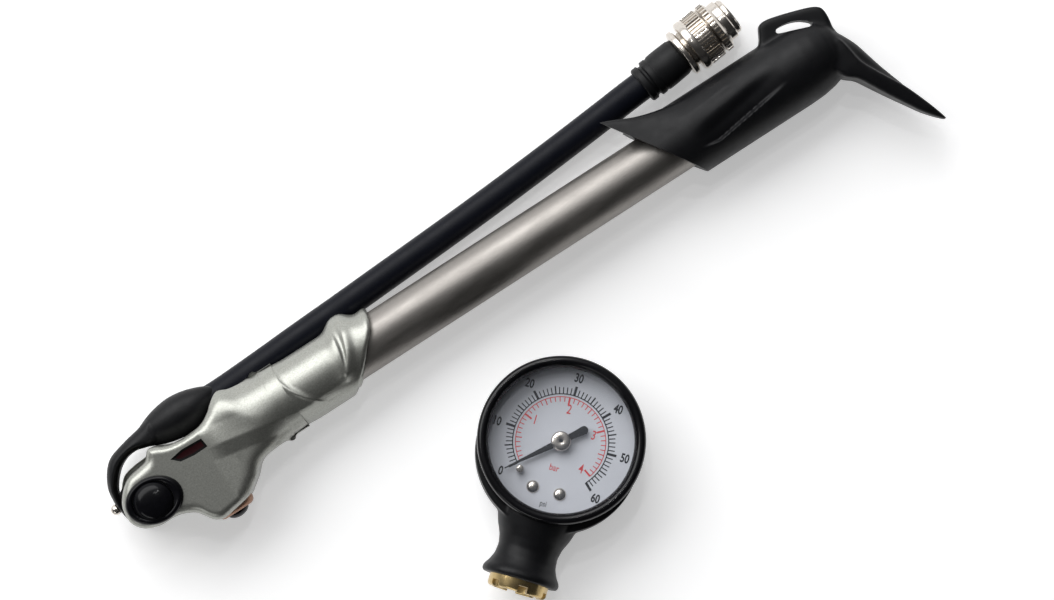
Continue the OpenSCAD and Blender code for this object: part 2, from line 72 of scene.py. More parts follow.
def alongPort(y):  # height runs out of the port
    return turnedPlace(pumpPlace, (layout["portX"], y, layout["axisZ"]), "X", 90)


chuckBase = turnedPlace(pumpPlace, layout["chuckAt"], "Z", layout["chuckTurn"])


def alongChuck(s):  # height runs to the chuck's mouth
    return turnedPlace(chuckBase, (s, 0, 0), "Y", 90)


dialNormal = -Vector(joints["pointer_swing"]["axis"]).normalized()
dialUp = Vector((dialNormal.x, dialNormal.y, 0)).normalized()
dialUp = (dialUp - dialUp.dot(dialNormal) * dialNormal).normalized()
dialSide = dialUp.cross(dialNormal)
dialCentre = Vector(joints["pointer_swing"]["pos_m"]) - 0.001 * layout["dialUnderPointer"] * dialNormal
gaugePlace = Matrix.Translation(dialCentre) @ Matrix((dialSide, dialUp,
        dialNormal)).transposed().to_4x4() @ toMetres

# camera
view = {
    "over": (0.001725, 0.018215), "height": 0.9715, "lens": 135, "sensor": 36, "turn": -32.82,
}
camera = bpy.data.objects.new("camera", bpy.data.cameras.new("camera"))
scene.collection.objects.link(camera)
camera.location = (*view["over"], view["height"])
camera.rotation_euler = (0, 0, math.radians(view["turn"]))
camera.data.lens = view["lens"]
camera.data.sensor_width = view["sensor"]
camera.data.clip_start = 0.01
scene.camera = camera

# lights
studio = {
    "target": (0.0, 0.01, 0.01), "exposure": 0.0, "transform": "Standard",
    "skySide": (0.1, 0.93, 0.36),
    "sky": [(0.0, 0.03), (0.45, 0.04), (0.68, 0.09), (0.79, 0.28), (0.89, 0.7), (1.0, 1.0)],
    "boxes": {  # azimuth from +X, elevation, distance, width, height, watts
        "keyLight": (97, 38, 0.9, 1.3, 0.62, 8.5),
        "edgeLight": (205, 24, 0.8, 0.5, 0.12, 0.7),
        "highSpark": (73, 71, 0.8, 0.013, 0.013, 0.22),
        "sideSpark": (55, 62, 0.8, 0.016, 0.016, 0.26),
    },
}
scene.view_settings.view_transform = studio["transform"]
scene.view_settings.exposure = studio["exposure"]


def softbox(name, azimuth, elevation, distance, width, height, watts):
    lamp = bpy.data.lights.new(name, "AREA")
    lamp.shape = "RECTANGLE"
    lamp.size, lamp.size_y, lamp.energy = width, height, watts
    box = bpy.data.objects.new(name, lamp)
    scene.collection.objects.link(box)
    turn, rise = math.radians(azimuth), math.radians(elevation)
    away = Vector((math.cos(turn) * math.cos(rise), math.sin(turn) * math.cos(rise), math.sin(rise)))
    box.location = Vector(studio["target"]) + distance * away
    box.rotation_euler = away.to_track_quat("Z", "Y").to_euler()


for name, spot in studio["boxes"].items():
    softbox(name, *spot)


def paintSky():
    scene.world = scene.world or bpy.data.worlds.new("studio")
    scene.world.use_nodes = True
    tree = scene.world.node_tree
    background = tree.nodes["Background"]
    facing = tree.nodes.new("ShaderNodeTexCoord")
    side = tree.nodes.new("ShaderNodeVectorMath")
    side.operation = "DOT_PRODUCT"
    side.inputs[1].default_value = Vector(studio["skySide"]).normalized()
    spread = tree.nodes.new("ShaderNodeMapRange")
    spread.inputs["From Min"].default_value = -1
    ramp = tree.nodes.new("ShaderNodeValToRGB")
    stops = ramp.color_ramp.elements
    while len(stops) < len(studio["sky"]):
        stops.new(0.5)
    for stop, (place, level) in zip(stops, studio["sky"]):
        stop.position, stop.color = place, (level, level, level * 1.02, 1)
    tree.links.new(facing.outputs["Generated"], side.inputs[0])
    tree.links.new(side.outputs["Value"], spread.inputs["Value"])
    tree.links.new(spread.outputs["Result"], ramp.inputs["Fac"])
    tree.links.new(ramp.outputs["Color"], background.inputs["Color"])
    background.inputs["Strength"].default_value = 1.0


paintSky()
print("camera and lights set")


# finishes
def startFinish(name, **sockets):
    material = bpy.data.materials.new(name)
    material.use_nodes = True
    shader = material.node_tree.nodes["Principled BSDF"]
    for socket, value in sockets.items():
        shader.inputs[socket].default_value = value
    return material


# size is in millimetres
def pattern(material, size, detail=2.0, stretch=(1, 1, 1), contrast=0.5):
    nodes, links = material.node_tree.nodes, material.node_tree.links
    place = nodes.new("ShaderNodeTexCoord")
    spread = nodes.new("ShaderNodeMapping")
    spread.inputs["Scale"].default_value = stretch
    links.new(place.outputs["Object"], spread.inputs["Vector"])
    grain = nodes.new("ShaderNodeTexNoise")
    grain.inputs["Scale"].default_value = 1000 / size
    grain.inputs["Detail"].default_value = detail
    grain.inputs["Roughness"].default_value = contrast
    links.new(spread.outputs["Vector"], grain.inputs["Vector"])
    return grain.outputs["Fac"]


def colourFrom(material, source, stops):
    nodes, links = material.node_tree.nodes, material.node_tree.links
    ramp = nodes.new("ShaderNodeValToRGB")
    elements = ramp.color_ramp.elements
    while len(elements) < len(stops):
        elements.new(0.5)
    for element, (place, colour) in zip(elements, stops):
        element.position, element.color = place, (*colour, 1)
    links.new(source, ramp.inputs["Fac"])
    links.new(ramp.outputs["Color"], nodes["Principled BSDF"].inputs["Base Color"])


def roughFrom(material, source, low, high):  # the noise keeps to its middle part
    nodes, links = material.node_tree.nodes, material.node_tree.links
    spread = nodes.new("ShaderNodeMapRange")
    for socket, value in (("From Min", 0.3), ("From Max", 0.7), ("To Min", low), ("To Max", high)):
        spread.inputs[socket].default_value = value
    links.new(source, spread.inputs["Value"])
    links.new(spread.outputs["Result"], nodes["Principled BSDF"].inputs["Roughness"])


def bumpFrom(material, source, height):  # height in millimetres
    nodes, links = material.node_tree.nodes, material.node_tree.links
    bump = nodes.new("ShaderNodeBump")
    bump.inputs["Strength"].default_value = 1.0
    bump.inputs["Distance"].default_value = 0.001 * height
    links.new(source, bump.inputs["Height"])
    links.new(bump.outputs["Normal"], nodes["Principled BSDF"].inputs["Normal"])


def shade(colour, factor):
    return tuple(min(1.0, channel * factor) for channel in colour)


def grainedFinish(name, colour, roughness, metal=0.0, size=0.5, spread=0.08, height=0.0, stretch=(1, 1, 1),
                  roughSpread=0.05, specular=0.5, **sockets):
    material = startFinish(name, Metallic=metal, **{"Specular IOR Level": specular}, **sockets)
    grain = pattern(material, size, 3.0, stretch)
    colourFrom(material, grain, [(0.3, shade(colour, 1 - spread)), (0.7, shade(colour, 1 + spread))])
    patch = pattern(material, size * 9, 2.0, stretch)
    roughFrom(material, patch, roughness - roughSpread, roughness + roughSpread)
    if height:
        bumpFrom(material, grain, height)
    return material


def headPaintFinish():
    material = startFinish("headPaint", Metallic=0.86, **{"Coat Weight": 0.2, "Coat Roughness": 0.25})
    flake = pattern(material, 0.34, 1.5, contrast=0.6)
    colourFrom(material, flake, [(0.3, (0.28, 0.285, 0.26)), (0.5, (0.325, 0.33, 0.3)),
            (0.7, (0.38, 0.385, 0.355))])
    roughFrom(material, pattern(material, 0.5, 2.0), 0.35, 0.42)
    bumpFrom(material, pattern(material, 0.8, 2.0), 0.005)
    return material


finishes = {
    "head_paint": headPaintFinish(),
    "barrel_anodised": grainedFinish("barrelAnodised", (0.27, 0.255, 0.238), 0.46, 1.0, 0.25, 0.05, 0.003,
            (0.25, 1, 1)),
    "label": grainedFinish("labelRed", (0.016, 0.0025, 0.0035), 0.35, 0.0, 0.4, 0.2, 0.002, specular=0.1),
    "black_plastic": grainedFinish("handlePlastic", (0.0045, 0.0047, 0.0056), 0.44, 0.0, 0.28, 0.2, 0.008,
            specular=0.2),
    "gloss_black": grainedFinish("buttonBlack", (0.003, 0.003, 0.004), 0.17, 0.0, 1.0, 0.2, 0.0,
            roughSpread=0.03, specular=0.16),
    "black_paint": grainedFinish("gaugeBlack", (0.004, 0.004, 0.005), 0.16, 0.0, 0.7, 0.2, 0.001,
            roughSpread=0.04, specular=0.26),
    "hose_rubber": grainedFinish("hoseRubber", (0.004, 0.0048, 0.0085), 0.42, 0.0, 0.35, 0.2, 0.006,
            specular=0.13),
    "seal_rubber": grainedFinish("sealRubber", (0.005, 0.0053, 0.006), 0.5, 0.0, 0.3, 0.2, 0.006,
            specular=0.22),
    "nickel": grainedFinish("nickelPlate", (0.62, 0.58, 0.53), 0.2, 1.0, 0.5, 0.05, 0.002, roughSpread=0.06),
    "steel": grainedFinish("steel", (0.52, 0.52, 0.52), 0.28, 1.0, 0.3, 0.06, 0.002),
    "chrome_rod": grainedFinish("chromeRod", (0.7, 0.7, 0.71), 0.1, 1.0, 0.4, 0.03, 0.0005, roughSpread=0.03),
    "brass": grainedFinish("brass", (0.56, 0.42, 0.2), 0.3, 1.0, 0.3, 0.07, 0.002),
    "copper_brass": grainedFinish("copperBrass", (0.36, 0.2, 0.13), 0.42, 0.7, 0.4, 0.12, 0.004),
    "machined_aluminium": grainedFinish("machinedAluminium", (0.6, 0.6, 0.6), 0.32, 1.0, 0.2, 0.06, 0.003,
            (1, 0.1, 0.1)),
    "nylon": grainedFinish("nylon", (0.7, 0.68, 0.62), 0.5, 0.0, 0.5, 0.05, 0.004),
    "dial_white": grainedFinish("dialWhite", (0.6, 0.62, 0.67), 0.45, 0.0, 2.5, 0.015, 0.001),
    "pointer_black": grainedFinish("pointerBlack", (0.003, 0.003, 0.003), 0.4, 0.0, 0.4, 0.2, 0.001,
            specular=0.08),
}


def lensFinish():
    material = startFinish("clearLens", Alpha=0.035, Roughness=0.03)
    colourFrom(material, pattern(material, 6.0), [(0.3, (0.74, 0.79, 0.88)), (0.7, (0.8, 0.85, 0.93))])
    return material


finishes["clear_lens"] = lensFinish()
printBlack = grainedFinish("printBlack", (0.006, 0.006, 0.008), 0.6, 0.0, 0.5, 0.05, specular=0.08)
printRed = grainedFinish("printRed", (0.62, 0.03, 0.035), 0.5, 0.0, 0.5, 0.05)
labelBlack = grainedFinish("labelBlack", (0.004, 0.004, 0.004), 0.35, 0.0, 0.5, 0.2, specular=0.1)

for node in frame["nodes"].values():  # the nodes that stay on show keep their shape and take a finish
    slotName = node.data.materials[0].name if node.data.materials else ""
    if slotName in finishes:
        node.data.materials[0] = finishes[slotName]
print("finishes made:", len(finishes))


# shaping
def turned(profile, steps=96, closed=False):  # profile of (radius, height), turned about the height axis
    bm = bmesh.new()
    line = [bm.verts.new((radius, 0, height)) for radius, height in profile]
    edges = [bm.edges.new(pair) for pair in zip(line, line[1:])]
    if closed:
        edges.append(bm.edges.new((line[-1], line[0])))
    bmesh.ops.spin(bm, geom=line + edges, cent=(0, 0, 0), axis=(0, 0, 1), angle=2 * math.pi, steps=steps,
                   use_merge=True)
    return tidied(bm)


def tidied(bm, distance=0.0005):
    bmesh.ops.remove_doubles(bm, verts=bm.verts, dist=distance)
    bmesh.ops.dissolve_degenerate(bm, edges=bm.edges, dist=distance / 2)
    bmesh.ops.recalc_face_normals(bm, faces=bm.faces)
    return bm


def softened(bm, width, segments=2, angle=35):
    sharp = [edge for edge in bm.edges
             if len(edge.link_faces) == 2 and edge.calc_face_angle(0) > math.radians(angle)]
    bmesh.ops.bevel(bm, geom=sharp, offset=width, offset_type="OFFSET", segments=segments, profile=0.5,
                    affect="EDGES", material=-1, clamp_overlap=True)
    return bm


def slab(points, low, high, steps=1):
    bm = bmesh.new()
    face = bm.faces.new([bm.verts.new((x, y, low)) for x, y in (flowing(points,
            steps) if steps > 1 else points)])
    raised = bmesh.ops.extrude_face_region(bm, geom=[face])["geom"]
    bmesh.ops.translate(bm, vec=(0, 0, high - low), verts=[item for item in raised if isinstance(item,
            bmesh.types.BMVert)])
    bmesh.ops.recalc_face_normals(bm, faces=bm.faces)
    return bm


def flowing(points, steps, closed=True):  # a smooth line through points of two or more coordinates
    line, count = [], len(points)
    spans = count if closed else count - 1
    for index in range(spans):
        a, b, c, d = (Vector(points[k % count] if closed else points[min(max(k, 0), count - 1)])
                      for k in range(index - 1, index + 3))
        for step in range(steps):
            t = step / steps
            line.append(0.5 * (2 * b + (c - a) * t + (2 * a - 5 * b + 4 * c - d) * t * t
                               + (3 * b - 3 * c + d - a) * t ** 3))
    if not closed:
        line.append(Vector(points[-1]))
    return [tuple(point) for point in line]


def together(*shapes):
    whole = bmesh.new()
    for shape in shapes:
        mesh = bpy.data.meshes.new("part")
        shape.to_mesh(mesh)
        shape.free()
        whole.from_mesh(mesh)
        bpy.data.meshes.remove(mesh)
    return whole


def placed(bm, place):
    bmesh.ops.transform(bm, matrix=place, verts=bm.verts)
    return bm


def workObject(bm, name="work"):
    mesh = bpy.data.meshes.new(name)
    bm.to_mesh(mesh)
    bm.free()
    made = bpy.data.objects.new(name, mesh)
    scene.collection.objects.link(made)
    return made


def settled(made):  # the mesh as its modifiers leave it
    bpy.context.view_layer.update()
    shaped = bpy.data.meshes.new_from_object(made.evaluated_get(bpy.context.evaluated_depsgraph_get()))
    bm = bmesh.new()
    bm.from_mesh(shaped)
    rough = made.data
    bpy.data.objects.remove(made)
    for mesh in (rough, shaped):
        bpy.data.meshes.remove(mesh)
    return bm


def melted(bm, voxel, passes):  # overlapping shells become one skin
    made = workObject(bm)
    remesh = made.modifiers.new("melt", "REMESH")
    remesh.mode, remesh.voxel_size, remesh.use_smooth_shade = "VOXEL", voxel, True
    if passes:
        smooth = made.modifiers.new("smooth", "SMOOTH")
        smooth.factor, smooth.iterations = 0.5, passes
    return settled(made)


def cut(bm, *cutters, operation="DIFFERENCE"):
    for cutter in cutters:
        made, tool = workObject(bm), workObject(cutter, "cutter")
        boolean = made.modifiers.new("cut", "BOOLEAN")
        boolean.operation, boolean.solver, boolean.object = operation, "MANIFOLD", tool
        bm = settled(made)
        spare = tool.data
        bpy.data.objects.remove(tool)
        bpy.data.meshes.remove(spare)
    return bm


quarterX, quarterY = (Matrix.Rotation(math.pi / 2, 4, axis) for axis in "XY")


def rod(radius, length, sides=48):  # a solid cylinder from height 0
    bm = bmesh.new()
    bmesh.ops.create_cone(bm, cap_ends=True, segments=sides, radius1=radius, radius2=radius, depth=length,
                          matrix=Matrix.Translation((0, 0, length / 2)))
    return bm


def rodAt(radius, length, sides, start):
    return placed(rod(radius, length, sides), Matrix.Translation(start))


def ball(centre, radius, steps=24):
    bm = bmesh.new()
    bmesh.ops.create_uvsphere(bm, u_segments=steps, v_segments=steps // 2, radius=radius,
                              matrix=Matrix.Translation(centre))
    return bm


def addPiece(name, bm, place, body, slotName, replaced=(), materials=None, sharp=38):
    bmesh.ops.transform(bm, matrix=place, verts=bm.verts)
    mesh = bpy.data.meshes.new(name)
    bm.to_mesh(mesh)
    bm.free()
    for material in materials or [finishes[slotName]]:
        mesh.materials.append(material)
    mesh.shade_smooth()
    mesh.set_sharp_from_angle(angle=math.radians(sharp))
    piece = bpy.data.objects.new(name, mesh)
    scene.collection.objects.link(piece)
    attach(piece, body)
    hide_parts(*replaced)
    print("piece", name, len(mesh.polygons), "faces")
    return piece


# floor
floorShape = bmesh.new()
bmesh.ops.create_grid(floorShape, x_segments=2, y_segments=2, size=3.0)
floor = workObject(floorShape, "floor")
floorFinish = grainedFinish("floorPaper", (0.9, 0.9, 0.9), 0.9, 0.0, 8.0, 0.01,
                            **{"Emission Color": (1, 1, 1, 1), "Emission Strength": 0.4})
floor.data.materials.append(floorFinish)

# chuck: end boot, body and the two knurled rings
chuck = {"flutes": 44, "fluteDepth": 0.6, "teeth": 34, "toothDepth": 0.7}


def knurled(bm, radius, low, high, count, depth, steps):
    for vert in bm.verts:
        if vert.co.xy.length > radius - 0.02 and low < vert.co.z < high:
            turn = math.atan2(vert.co.y, vert.co.x) / (2 * math.pi) * count
            if (turn + 0.25 / steps) % 1 < 0.48:
                vert.co.xy *= (radius - depth) / radius
    return bm


endBoot = softened(turned([
    (3.66, -0.2), (4.35, -0.2), (4.7, 0.2), (4.7, 1.5), (4.2, 1.85), (4.15, 2.4), (4.9, 2.7), (4.9, 3.9),
    (4.65, 4.4),
    (4.95, 5.0), (5.0, 7.0), (4.9, 10.8), (4.6, 11.7), (3.3, 11.7), (3.3, 3.3), (3.66, 3.3)], closed=True),
    0.12)
endBootPiece = addPiece("endBoot", endBoot, alongChuck(0), "hose_arm", "seal_rubber", ["hose_end_boot"])

chuckCore = softened(turned([
    (2.1, 3.6), (2.1, 11.75), (5.3, 11.75), (6.25, 12.2), (6.25, 13.3), (5.5, 13.7), (4.7, 13.75),
    (4.7, 22.8), (2.4, 22.8),
    (2.4, 14.1), (1.2, 13.9), (1.2, 3.6)], closed=True), 0.1)
chuckCorePiece = addPiece("chuckCore", chuckCore, alongChuck(0), "hose_arm", "nickel", ["chuck_body"])

fluteSteps = 6
ring = turned([
    (4.77, 14.6), (6.3, 14.6), (6.75, 14.85), (6.95, 15.3), (6.95, 16.3), (6.7, 16.75), (6.8, 16.95),
    (6.8, 17.0), (6.8, 20.7),
    (6.8, 20.75), (6.45, 21.1), (4.77, 21.1)], steps=chuck["flutes"] * fluteSteps, closed=True)
knurled(ring, 6.8, 16.97, 20.72, chuck["flutes"], chuck["fluteDepth"], fluteSteps)
pinRingPiece = addPiece("pinRing", ring, alongChuck(0), "pin_ring", "nickel", ["pin_ring"], sharp=30)

nut = turned([
    (4.77, 21.42), (6.3, 21.42), (6.75, 21.75), (6.75, 21.8), (6.75, 23.2), (6.75, 23.25), (6.2, 23.8),
    (5.55, 23.95),
    (5.35, 24.2), (5.35, 25.9), (5.1, 26.15), (4.55, 26.2), (4.75, 26.45), (4.75, 27.2), (4.4, 27.65),
    (3.92, 27.7),
    (3.92, 24.1), (4.2, 24.05), (4.2, 22.5), (4.77, 22.5)], steps=chuck["teeth"] * fluteSteps, closed=True)
knurled(nut, 6.75, 21.77, 23.22, chuck["teeth"], chuck["toothDepth"], fluteSteps)
valveNutPiece = addPiece("valveNut", nut, alongChuck(0), "valve_nut", "nickel", ["valve_nut"], sharp=30)

# hose, with what it carries
hoseFacts = {
    "diameter": 0.0073, "length": 0.137,
    "route": [  # millimetres from the pivot, from inside the bulb to inside the end boot
        (20.8, 13.9, 7.6), (24, 13.6, 6.7), (28, 13.6, 5.6), (33, 13.8, 4.5), (40, 14.1, 3.9),
        (50, 14.6, 3.8),
        (60, 15, 3.8), (75, 15.7, 3.8), (90, 16.4, 3.8), (105, 17.2, 3.8), (120, 18.2, 3.9), (132, 19.1, 4.4),
        (143, 20, 5.5), (150, 20.6, 6.4), (157, 21.1, 6.95)],
}
hoseLine = bpy.data.curves.new("hose", "CURVE")
hoseLine.dimensions = "3D"
hoseLine.bevel_depth = hoseFacts["diameter"] / 2
hoseLine.bevel_resolution = 12
hoseLine.resolution_u = 8
hoseLine.use_fill_caps = True
hoseRun = hoseLine.splines.new("BEZIER")
hoseRun.bezier_points.add(len(hoseFacts["route"]) - 1)
for point, corner in zip(hoseRun.bezier_points, hoseFacts["route"]):
    point.co = pumpPlace @ Vector(corner)
    point.handle_left_type = point.handle_right_type = "AUTO"
hose = bpy.data.objects.new("hose.cover", hoseLine)
scene.collection.objects.link(hose)
hoseLine.materials.append(finishes["hose_rubber"])
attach(hose, "hose_arm")
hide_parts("hose")
print("hose laid")

# barrel
barrel = {"outer": 6.65, "inner": 5.45, "start": 36, "end": 180}
barrelTube = softened(turned([
    (barrel["inner"], barrel["start"]), (barrel["outer"], barrel["start"]), (barrel["outer"], barrel["end"]),
    (barrel["inner"], barrel["end"])], steps=128, closed=True), 0.15)
addPiece("barrelTube", barrelTube, alongBarrel(0), "pump_body", "barrel_anodised", ["barrel_tube"])


# sculpting helpers
def rimReach(points, steps=12):  # a tree of points along an outline, each with its own reach
    tree = KDTree(len(points) * steps)
    line = flowing(points, steps)
    for index, (x, y, reach) in enumerate(line):
        tree.insert((x, y, 0), index)
    tree.balance()
    return tree, line


def roundRim(bm, points, middle, drop, front=True, above=-1e9, below=1e9):
    tree, line = rimReach(points)
    for vert in bm.verts:
        if (vert.co.z > middle) != front or not above < vert.co.x < below:
            continue
        spot, index, distance = tree.find((vert.co.x, vert.co.y, 0))
        reach = line[index][2]
        if distance < reach:
            share = 1 - distance / reach
            vert.co.z -= (vert.co.z - middle) * drop * (1 - math.sqrt(max(0.0, 1 - share * share)))
    return bm


def tapered(bm, points, start=150):  # keep what lies inside an outline of (y, z), seen along X
    side = placed(slab(points, 0, 90), Matrix(((0, 0, 1, start), (1, 0, 0, 0), (0, 1, 0, 0), (0, 0, 0, 1))))
    return cut(bm, side, operation="INTERSECT")


def barrelRod(start, end, radius, sides=96):
    return placed(rod(radius, end - start, sides), Matrix.Translation((start, layout["barrelY"],
            layout["axisZ"]))
                  @ quarterY)


# handle
handle = {
    "radius": 9.5, "voxel": 0.36, "smooth": 14, "webLean": 2.5, "webFoot": 6.5,
    "loop": [(178, 12.4), (181.2, 12.9), (183.2, 13.9), (184.5, 16.1), (185.4, 17.6), (187, 17.9),
             (190, 17.3), (194.7, 15.9), (198.6, 14.5), (200.4, 13.2), (200.8, 11.4), (200.4, 8.4),
             (199, 5), (190, 3), (180, 5)],
    "blade": [(199.2, 5), (200.5, 1), (201.2, -2.9), (202.9, -6.4), (205, -10.1), (207.2, -14),
              (209.5, -19.5), (211.8, -26.1), (210.4, -25.2), (207.6, -21.8), (205, -17.6), (202.7, -13.8),
              (200.3, -9.6), (198.3, -6.2), (195.5, -3.5), (194.5, 3)],
    "bladeSide": [(7, 0), (-3, 0.2), (-9, 1.7), (-16, 3.9), (-22, 5.8), (-27.5, 7.9), (-27.5, 11.1),
                  (-22, 13.2), (-16, 14.2), (-9, 15.4), (-3, 16.2), (2, 16.4), (7, 16.0)],
    "scoop": {"start": (157.0, 0.6), "end": (183.6, 2.6), "depth": 1.35, "lip": (1.5, 1.0),
              "slope": (2.0, 3.0), "lead": 5.0, "trail": 9.0, "drift": 0.07, "above": 4},
    "spikeRidge": [(139.2, 18.4, 14.6, 0.7), (142.6, 16.4, 14.6, 1.3), (147, 13.6, 14.4, 2.0),
                   (152, 11.3, 13.6, 2.8), (157, 9.6, 12.8, 3.6), (162, 8.2, 12.0, 4.6),
                   (168, 6.6, 11.0, 6.0)],
    "shoulder": [(184, 6.4, 11.4, 6.6), (189, 6.8, 11.9, 5.6), (193.4, 6.0, 12.3, 5.0),
                 (196.8, 3.4, 12.2, 4.4), (199.2, 0.0, 11.8, 3.8), (200.9, -3.6, 11.2, 3.2),
                 (202.8, -7.6, 10.6, 2.5), (205.2, -12.4, 10.0, 1.8), (207.8, -18.0, 9.6, 1.2)],
    "eyelet": [(188.1, 13.5), (188.7, 14.6), (191.8, 14.3), (194.5, 13.2), (196.5, 11.5), (196.4, 10.8),
               (195.4, 10.7), (191.4, 12.2)],
}
handleBlade = melted(tapered(slab(handle["blade"], -1, 20, 3), handle["bladeSide"]), 0.3, 10)


def webbed(ridge, steps):  # balls from a ridge down on to the round of the grip
    web = []
    for x, y, z, radius in ridge:
        foot = Vector((x + handle["webLean"], handle["webFoot"],
                       layout["axisZ"] + math.sqrt(handle["radius"] ** 2 - handle["webLean"] ** 2) - radius))
        for step in range(steps):
            web.append(ball(Vector((x, y, z)).lerp(foot, step / steps), radius, 12))
    return web


def scooped(bm, scoop):  # a long hollow with a soft upper slope and a crisp lower lip
    start, end = Vector(scoop["start"]), Vector(scoop["end"])
    along = (end - start).normalized()
    for vert in bm.verts:
        if vert.co.z < layout["axisZ"] + scoop["above"]:
            continue
        away = vert.co.xy - start
        run, side = away.dot(along), along.x * away.y - along.y * away.x
        left = (end - start).length - run
        if run <= 0 or left <= 0:
            continue
        side -= scoop["drift"] * run
        lip = scoop["lip"][0] * min(1.0, run / scoop["lead"])
        if side < 0:
            share = min(1.0, max(0.0, (side + lip + scoop["lip"][1]) / scoop["lip"][1]))
        else:
            share = math.exp(-(side / scoop["slope"][1]) ** 2)
        fade = min(1.0, run / scoop["lead"]) * min(1.0, left / scoop["trail"])
        vert.co.z -= scoop["depth"] * fade * share * share * (3 - 2 * share)
    return bm


palmShape = placed(turned([(0, 176), (9.5, 176), (9.5, 186), (9.35, 190), (8.8, 193.5), (7.8, 196.6),
                           (6.0, 199.1), (3.4, 200.5), (0, 200.8)], 64),
                   Matrix.Translation((0, layout["barrelY"], layout["axisZ"])) @ quarterY)
handleSkin = melted(together(
    barrelRod(138, 186, handle["radius"]), palmShape,
    *webbed(flowing(handle["spikeRidge"], 5, closed=False), 10),
    melted(slab(handle["loop"], 5.8, 13.2, 4), 0.36, 10),
    *[ball((x, y, z), radius, 24) for x, y, z, radius in flowing(handle["shoulder"], 5, closed=False)],
    handleBlade),
    handle["voxel"], handle["smooth"])
mouthCut = placed(slab([(-60, 0), (30, 0), (30, 40), (-60, 40)], -1, 30),
                  Matrix.Translation((140.1, 18.5, 0)) @ Matrix.Rotation(math.atan2(23.5, -15.6), 4, "Z"))
handleSkin = cut(scooped(handleSkin, handle["scoop"]), mouthCut, slab(handle["eyelet"], -1, 20, 4),
                 barrelRod(130, 184, 6.95), barrelRod(158, 166, 7.7), barrelRod(183, 192, 3),
                 barrelRod(190, 200, 2),
                 barrelRod(196, 204, 3.6))
addPiece("handleGrip", tidied(handleSkin), pumpPlace, "handle", "black_plastic", ["handle_grip"], sharp=50)

# hose arm: strap round the head's end and the bulb that holds the hose
arm = {
    "ballZ": layout["armZ"] + 0.2,
    "strap": [(-8.5, -0.4, 1.6), (-9.0, 2.6, 1.9), (-9.15, 5.5, 2.0), (-8.5, 9, 2.1), (-6.5, 12.5, 2.2),
              (-4, 14.75, 2.4), (0, 16, 2.6), (5, 17, 3), (9, 17.6, 3), (9, 12.6, 2), (6.4, 11.9, 1.4),
              (4, 12.35, 1.3), (2, 12.9, 1.3), (-1, 12.55, 1.3), (-4, 10.8, 1.3), (-6.75, 7.5, 1.3),
              (-7.75, 4.2, 1.3), (-7.9, 1.5, 1.2), (-7.9, -0.2, 1.2)],
    "hubWeb": [(-8.3, 3.6), (-6.6, 6.4), (-4.6, 7.4), (-2.3, 8.4), (0.5, 8.4), (3.5, 7.4), (5.4, 5),
               (5.6, 1), (0, -1.4), (-5.4, -2), (-8, -1.2)],
    "bulb": [(3.5, 14.4, 1.6), (6, 14.5, 2.6), (8.4, 14.5, 3.6), (10.8, 14.45, 4.45), (13.2, 14.4, 5.0),
             (15.4, 14.4, 5.2), (17.8, 14.4, 4.9), (20.2, 14.5, 4.15), (22.6, 14.7, 3.05),
             (24.6, 14.9, 1.9), (26.2, 15.0, 1.0)],
}
strapSkin = melted(slab([point[:2] for point in arm["strap"]], 3.9, 12.3, 6), 0.28, 3)
roundRim(strapSkin, arm["strap"], layout["armZ"], drop=0.75)
armSkin = melted(together(
    strapSkin, slab(arm["hubWeb"], 3.9, 9.6, 3),
    *[ball((x, y, layout["armZ"]), radius, 40) for x, y, radius in flowing(arm["bulb"], 4, closed=False)]),
    0.28, 6)
armSkin = cut(armSkin, rodAt(5.5, 30, 96, (0, 0, -1)))
addPiece("armBoot", tidied(armSkin), pumpPlace, "hose_arm", "black_plastic", ["arm_boot"], sharp=50)

addPiece("armBall", ball((-9.8, 3.4, arm["ballZ"]), 1.35, 48), pumpPlace, "hose_arm", "nickel",
         ["arm_ball_plug"])

# bleed button in its oval bezel
bezel = {"long": 7.25, "short": 5.8, "middle": (0.4, 0.25), "turn": -8.6, "eye": 5.1,
         "eyeAt": (-0.36, -0.3, 19.8), "wall": 1.38}
bezelTurn = Matrix.Translation((*bezel["middle"], 0)) @ Matrix.Rotation(math.radians(bezel["turn"]), 4, "Z")


def ovalShape(profile, steps=96):  # profile of (how far inside the oval, height)
    bm = bmesh.new()
    loops = []
    for inset, height in profile:
        ring = bmesh.ops.create_circle(bm, cap_ends=False, segments=steps, radius=1)["verts"]
        for vert in ring:
            vert.co = Vector((vert.co.x * (bezel["long"] - inset),
                              vert.co.y * (bezel["short"] - inset * 0.85), height))
        loops.append(list({edge for vert in ring for edge in vert.link_edges}))
    for lower, upper in zip(loops, loops[1:]):
        bmesh.ops.bridge_loops(bm, edges=lower + upper)
    return bm, loops


bezelHole, holeLoops = ovalShape([(-0.02, 18.4), (-0.02, 21)])
for loop in holeLoops:
    bmesh.ops.contextual_create(bezelHole, geom=loop)
bezelHole = placed(tidied(bezelHole), bezelTurn)
bezelRing, ringLoops = ovalShape([(0.02, 18.42), (0.0, 19.1), (0.12, 19.5), (0.45, 19.95), (0.9, 20.2),
        (1.35, 20.15), (1.6, 19.95)])
innerRing = bmesh.ops.create_circle(bezelRing, cap_ends=False, segments=96, radius=bezel["eye"])["verts"]
bmesh.ops.rotate(bezelRing, cent=(0, 0, 0), matrix=Matrix.Rotation(math.radians(-bezel["turn"]), 3, "Z"),
                 verts=innerRing)
bmesh.ops.translate(bezelRing, vec=bezel["eyeAt"], verts=innerRing)
innerTop = list({edge for vert in innerRing for edge in vert.link_edges})
bmesh.ops.bridge_loops(bezelRing, edges=ringLoops[-1] + innerTop)
deeper = bmesh.ops.extrude_edge_only(bezelRing, edges=innerTop)["geom"]
